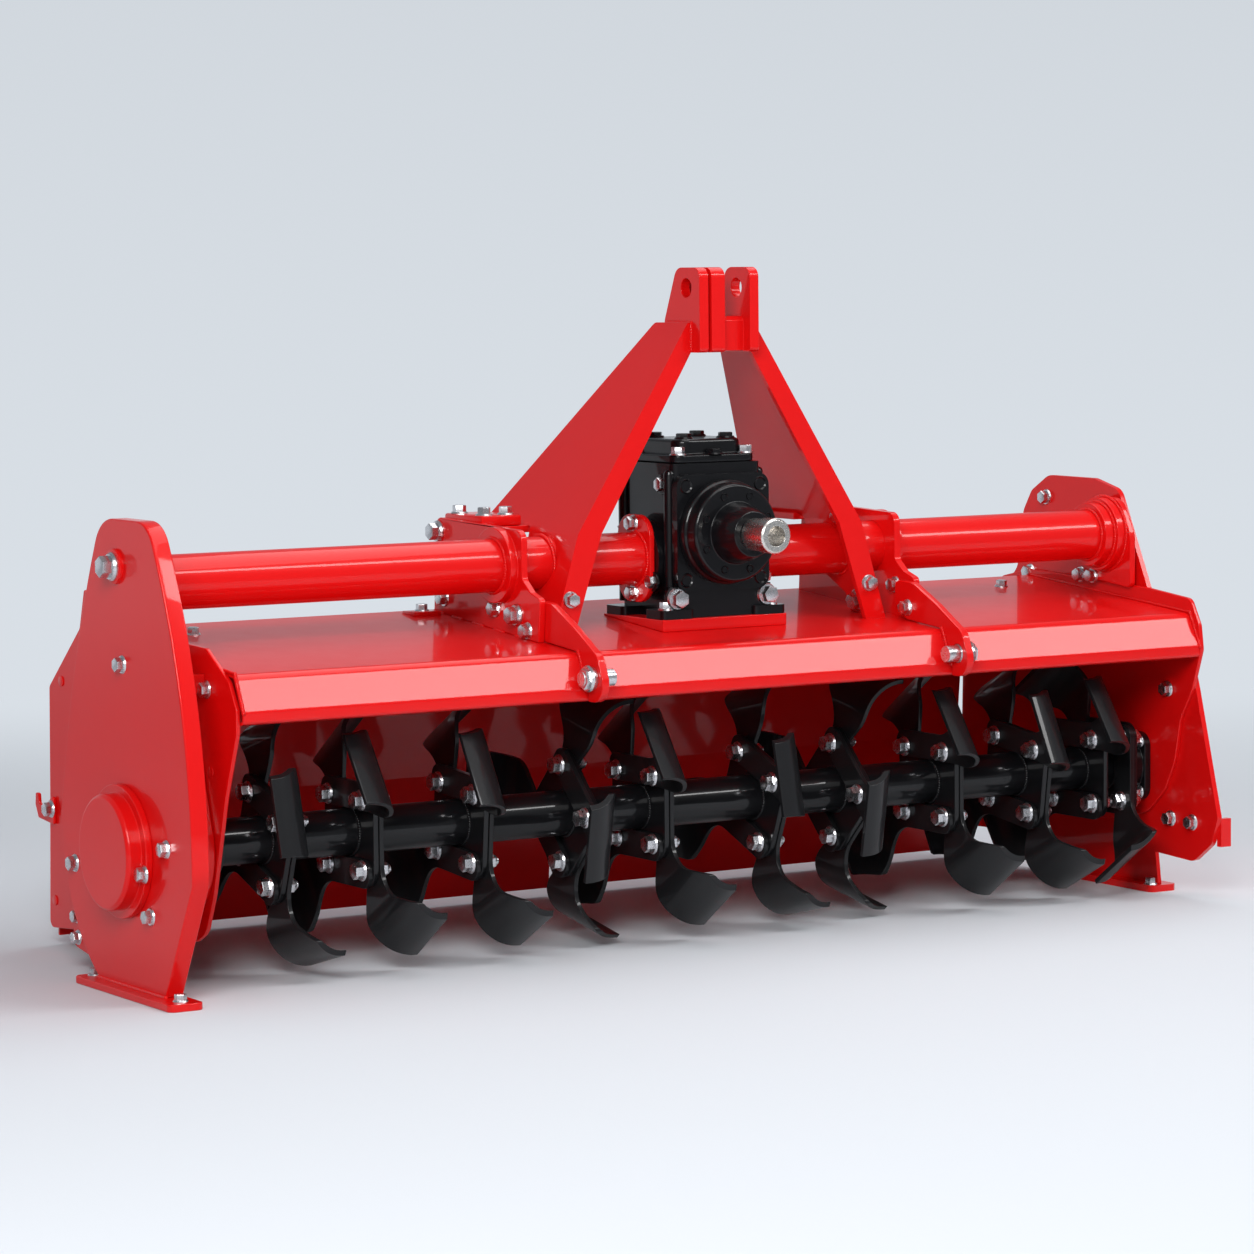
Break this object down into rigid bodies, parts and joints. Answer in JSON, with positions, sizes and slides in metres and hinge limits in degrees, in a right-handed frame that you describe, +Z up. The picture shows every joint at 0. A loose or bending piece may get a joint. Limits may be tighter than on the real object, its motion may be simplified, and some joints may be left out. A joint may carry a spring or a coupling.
{
  "type": "rotavator",
  "caption": "Tractor-mounted rotavator with a chain-driven tine rotor, folded hood, three-point mast, gearbox and hinged tailboard.",
  "frame": {"origin": "on the floor at the middle of the machine's footprint", "axes": "+X across the machine with the gear case at -X, -Y towards the tractor, +Z up"},
  "size_m": [2.08, 0.8079, 1.128],
  "materials": {
    "red_paint": "gloss",
    "rotor_black": "satin",
    "blade_black": "satin",
    "gearbox_black": "semi-gloss",
    "polished_steel": "polished",
    "zinc": "satin"
  },
  "bodies": {
    "frame": {"gearbox_base_plate": "red_paint", "gearbox_housing": "gearbox_black", "gearbox_top_cover": "gearbox_black", "hood": "red_paint", "input_bearing_cap": "gearbox_black", "left_beam_tube": "red_paint", "left_bearing_housing": "rotor_black", "left_case_flange": "red_paint", "left_case_spacers": "red_paint", "left_clamp_plate": "red_paint", "left_gear_case": "red_paint", "left_gearbox_flange": "red_paint", "left_hitch_arm": "red_paint", "left_hitch_pin": "zinc", "left_hub_cap": "red_paint", "left_mast_leg": "red_paint", "left_side_plate": "red_paint", "left_skid": "red_paint", "left_skid_bracket": "red_paint", "left_tie_plate": "red_paint", "right_beam_pad": "red_paint", "right_beam_tube": "red_paint", "right_bearing_cap": "red_paint", "right_bearing_housing": "rotor_black", "right_clamp_plate": "red_paint", "right_gearbox_flange": "red_paint", "right_hitch_arm": "red_paint", "right_hitch_pin": "zinc", "right_mast_leg": "red_paint", "right_outer_plate": "red_paint", "right_side_plate": "red_paint", "right_skid": "red_paint", "right_tie_plate": "red_paint", "tail_hinge_rod": "zinc", "tailboard_hooks": "red_paint", "top_link_clevis": "red_paint"},
    "rotor": {"blades_left_hand": "blade_black", "blades_right_hand": "blade_black", "rotor_flanges": "rotor_black", "rotor_stub_shafts": "rotor_black", "rotor_tube": "rotor_black"},
    "input": {"input_shaft": "polished_steel"},
    "tail": {"tailboard": "red_paint"}
  },
  "joints": [
    {"name": "rotor_spin", "type": "hinge", "parent": "frame", "child": "rotor", "pos_m": [0, -0.157, 0.226], "axis": [1, 0, 0], "continuous": true},
    {"name": "input_spin", "type": "hinge", "parent": "frame", "child": "input", "pos_m": [0.097, -0.3, 0.684], "axis": [0, 1, 0], "continuous": true},
    {"name": "tailboard_lift", "type": "hinge", "parent": "frame", "child": "tail", "pos_m": [0, 0.343, 0.45], "axis": [1, 0, 0], "range_deg": [0, 70]}
  ],
  "couplings": [
    {"joint": "input_spin", "follows": "rotor_spin", "ratio": -2.4545}
  ]
}
